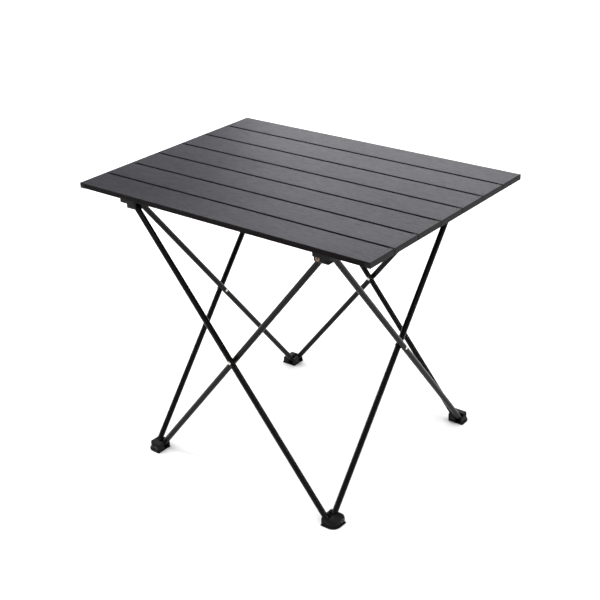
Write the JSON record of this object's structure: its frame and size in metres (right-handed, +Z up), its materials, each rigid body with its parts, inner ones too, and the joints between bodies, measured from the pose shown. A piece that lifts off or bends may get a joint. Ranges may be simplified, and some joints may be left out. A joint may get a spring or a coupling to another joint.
{
  "type": "folding side table",
  "caption": "Low camping side table: a flat top of aluminium slats strung on elastic cord, set on a folding frame of crossed tube legs with moulded corner hubs and feet.",
  "frame": {"origin": "on the ground under the middle of the top", "axes": "+Z up, +X along the slats (the longest side), -Y is the front"},
  "size_m": [0.56, 0.409, 0.468],
  "materials": {
    "slat": "satin grey anodised aluminium with a fine grain",
    "end_cap": "fine-textured black nylon",
    "elastic_cord": "braided elastic cord",
    "moulding": "satin black moulded nylon",
    "leg_tube": "gloss black coated aluminium tube",
    "hub_pin": "plain tubular rivet",
    "foot_pin": "blackened steel",
    "rivet": "plain steel rivet",
    "washer": "black nylon"
  },
  "bodies": {
    "hub_front_left": {"hub_front_left": "moulding", "hub_pins_front_left": "hub_pin"},
    "foot_front_left": {"foot_front_left": "moulding", "foot_pins_front_left": "foot_pin"},
    "hub_front_right": {"hub_front_right": "moulding", "hub_pins_front_right": "hub_pin"},
    "foot_front_right": {"foot_front_right": "moulding", "foot_pins_front_right": "foot_pin"},
    "hub_back_right": {"hub_back_right": "moulding", "hub_pins_back_right": "hub_pin"},
    "foot_back_right": {"foot_back_right": "moulding", "foot_pins_back_right": "foot_pin"},
    "hub_back_left": {"hub_back_left": "moulding", "hub_pins_back_left": "hub_pin"},
    "foot_back_left": {"foot_back_left": "moulding", "foot_pins_back_left": "foot_pin"},
    "leg_front_outer": {"leg_front_outer": "leg_tube", "cross_rivet_front": "rivet", "cross_washer_front": "washer"},
    "leg_front_inner": {"leg_front_inner": "leg_tube"},
    "leg_right_outer": {"leg_right_outer": "leg_tube"},
    "leg_right_inner": {"leg_right_inner": "leg_tube", "cross_rivet_right": "rivet", "cross_washer_right": "washer"},
    "leg_back_outer": {"leg_back_outer": "leg_tube", "cross_rivet_back": "rivet", "cross_washer_back": "washer"},
    "leg_back_inner": {"leg_back_inner": "leg_tube"},
    "leg_left_outer": {"leg_left_outer": "leg_tube"},
    "leg_left_inner": {"leg_left_inner": "leg_tube", "cross_rivet_left": "rivet", "cross_washer_left": "washer"},
    "top_slat_1": {"slat_1": "slat", "end_caps_1": "end_cap", "shock_cord_1": "elastic_cord", "seat_front_left": "moulding", "seat_front_right": "moulding", "seat_rivets_front": "rivet"},
    "top_slat_2": {"slat_2": "slat", "end_caps_2": "end_cap", "shock_cord_2": "elastic_cord"},
    "top_slat_3": {"slat_3": "slat", "end_caps_3": "end_cap", "shock_cord_3": "elastic_cord"},
    "top_slat_4": {"slat_4": "slat", "end_caps_4": "end_cap", "shock_cord_4": "elastic_cord"},
    "top_slat_5": {"slat_5": "slat", "end_caps_5": "end_cap", "shock_cord_5": "elastic_cord"},
    "top_slat_6": {"slat_6": "slat", "end_caps_6": "end_cap", "shock_cord_6": "elastic_cord"},
    "top_slat_7": {"slat_7": "slat", "end_caps_7": "end_cap", "shock_cord_7": "elastic_cord", "seat_back_right": "moulding", "seat_back_left": "moulding", "seat_rivets_back": "rivet"}
  },
  "joints": [
    {"name": "frame_fold", "type": "hinge", "parent": "hub_front_left", "child": "leg_front_outer", "pos_m": [-0.1715, -0.1916, 0.4491], "axis": [0, 1, 0], "range_deg": [0, 36.5]},
    {"name": "left_inner_top_pivot", "type": "hinge", "parent": "hub_front_left", "child": "leg_left_inner", "pos_m": [-0.1732, -0.1795, 0.4491], "axis": [-1, 0, 0], "range_deg": [0, 36.5]},
    {"name": "front_cross_pivot", "type": "hinge", "parent": "leg_front_outer", "child": "leg_front_inner", "pos_m": [0.008, -0.1864, 0.22835], "axis": [0, -1, 0], "range_deg": [0, 73]},
    {"name": "left_cross_pivot", "type": "hinge", "parent": "leg_left_inner", "child": "leg_left_outer", "pos_m": [-0.1784, 0, 0.22835], "axis": [1, 0, 0], "range_deg": [0, 73]},
    {"name": "front_outer_foot_pivot", "type": "hinge", "parent": "leg_front_outer", "child": "foot_front_right", "pos_m": [0.1875, -0.1916, 0.0076], "axis": [0, -1, 0], "range_deg": [0, 36.5]},
    {"name": "left_inner_foot_pivot", "type": "hinge", "parent": "leg_left_inner", "child": "foot_back_left", "pos_m": [-0.1732, 0.1795, 0.0076], "axis": [1, 0, 0], "range_deg": [0, 36.5]},
    {"name": "front_inner_top_pivot", "type": "hinge", "parent": "leg_front_inner", "child": "hub_front_right", "pos_m": [0.1875, -0.1812, 0.4491], "axis": [0, 1, 0], "range_deg": [0, 36.5]},
    {"name": "front_inner_foot_pivot", "type": "hinge", "parent": "leg_front_inner", "child": "foot_front_left", "pos_m": [-0.1715, -0.1812, 0.0076], "axis": [0, 1, 0], "range_deg": [0, 36.5]},
    {"name": "left_outer_top_pivot", "type": "hinge", "parent": "leg_left_outer", "child": "hub_back_left", "pos_m": [-0.1836, 0.1795, 0.4491], "axis": [-1, 0, 0], "range_deg": [0, 36.5]},
    {"name": "right_inner_foot_pivot", "type": "hinge", "parent": "foot_front_right", "child": "leg_right_inner", "pos_m": [0.1892, -0.1795, 0.0076], "axis": [1, 0, 0], "range_deg": [0, 36.5]},
    {"name": "right_cross_pivot", "type": "hinge", "parent": "leg_right_inner", "child": "leg_right_outer", "pos_m": [0.1944, 0, 0.22835], "axis": [-1, 0, 0], "range_deg": [0, 73]},
    {"name": "right_inner_top_pivot", "type": "hinge", "parent": "leg_right_inner", "child": "hub_back_right", "pos_m": [0.1892, 0.1795, 0.4491], "axis": [-1, 0, 0], "range_deg": [0, 36.5]},
    {"name": "back_outer_foot_pivot", "type": "hinge", "parent": "foot_back_left", "child": "leg_back_outer", "pos_m": [-0.1715, 0.1916, 0.0076], "axis": [0, -1, 0], "range_deg": [0, 36.5]},
    {"name": "back_cross_pivot", "type": "hinge", "parent": "leg_back_outer", "child": "leg_back_inner", "pos_m": [0.008, 0.1864, 0.22835], "axis": [0, 1, 0], "range_deg": [0, 73]},
    {"name": "right_outer_foot_pivot", "type": "hinge", "parent": "leg_right_outer", "child": "foot_back_right", "pos_m": [0.1996, 0.1795, 0.0076], "axis": [1, 0, 0], "range_deg": [0, 36.5]},
    {"name": "top_lift", "type": "slide", "parent": "hub_front_left", "child": "top_slat_1", "axis": [0, 0, 1], "range_m": [0, 0.1]},
    {"name": "top_roll", "type": "hinge", "parent": "top_slat_1", "child": "top_slat_2", "pos_m": [0, -0.1475, 0.468], "axis": [1, 0, 0], "range_deg": [0, 50]},
    {"name": "roll_slat_3", "type": "hinge", "parent": "top_slat_2", "child": "top_slat_3", "pos_m": [0, -0.0885, 0.468], "axis": [1, 0, 0], "range_deg": [0, 50]},
    {"name": "roll_slat_4", "type": "hinge", "parent": "top_slat_3", "child": "top_slat_4", "pos_m": [0, -0.0295, 0.468], "axis": [1, 0, 0], "range_deg": [0, 50]},
    {"name": "roll_slat_5", "type": "hinge", "parent": "top_slat_4", "child": "top_slat_5", "pos_m": [0, 0.0295, 0.468], "axis": [1, 0, 0], "range_deg": [0, 50]},
    {"name": "roll_slat_6", "type": "hinge", "parent": "top_slat_5", "child": "top_slat_6", "pos_m": [0, 0.0885, 0.468], "axis": [1, 0, 0], "range_deg": [0, 50]},
    {"name": "roll_slat_7", "type": "hinge", "parent": "top_slat_6", "child": "top_slat_7", "pos_m": [0, 0.1475, 0.468], "axis": [1, 0, 0], "range_deg": [0, 50]}
  ],
  "couplings": [
    {"joint": "left_inner_top_pivot", "follows": "frame_fold", "ratio": 1},
    {"joint": "front_cross_pivot", "follows": "frame_fold", "ratio": 2},
    {"joint": "left_cross_pivot", "follows": "frame_fold", "ratio": 2},
    {"joint": "front_outer_foot_pivot", "follows": "frame_fold", "ratio": 1},
    {"joint": "left_inner_foot_pivot", "follows": "frame_fold", "ratio": 1},
    {"joint": "front_inner_top_pivot", "follows": "frame_fold", "ratio": 1},
    {"joint": "front_inner_foot_pivot", "follows": "frame_fold", "ratio": 1},
    {"joint": "left_outer_top_pivot", "follows": "frame_fold", "ratio": 1},
    {"joint": "right_inner_foot_pivot", "follows": "frame_fold", "ratio": 1},
    {"joint": "right_cross_pivot", "follows": "frame_fold", "ratio": 2},
    {"joint": "right_inner_top_pivot", "follows": "frame_fold", "ratio": 1},
    {"joint": "back_outer_foot_pivot", "follows": "frame_fold", "ratio": 1},
    {"joint": "back_cross_pivot", "follows": "frame_fold", "ratio": 2},
    {"joint": "right_outer_foot_pivot", "follows": "frame_fold", "ratio": 1},
    {"joint": "roll_slat_3", "follows": "top_roll", "ratio": 1},
    {"joint": "roll_slat_4", "follows": "top_roll", "ratio": 1},
    {"joint": "roll_slat_5", "follows": "top_roll", "ratio": 1},
    {"joint": "roll_slat_6", "follows": "top_roll", "ratio": 1},
    {"joint": "roll_slat_7", "follows": "top_roll", "ratio": 1}
  ]
}
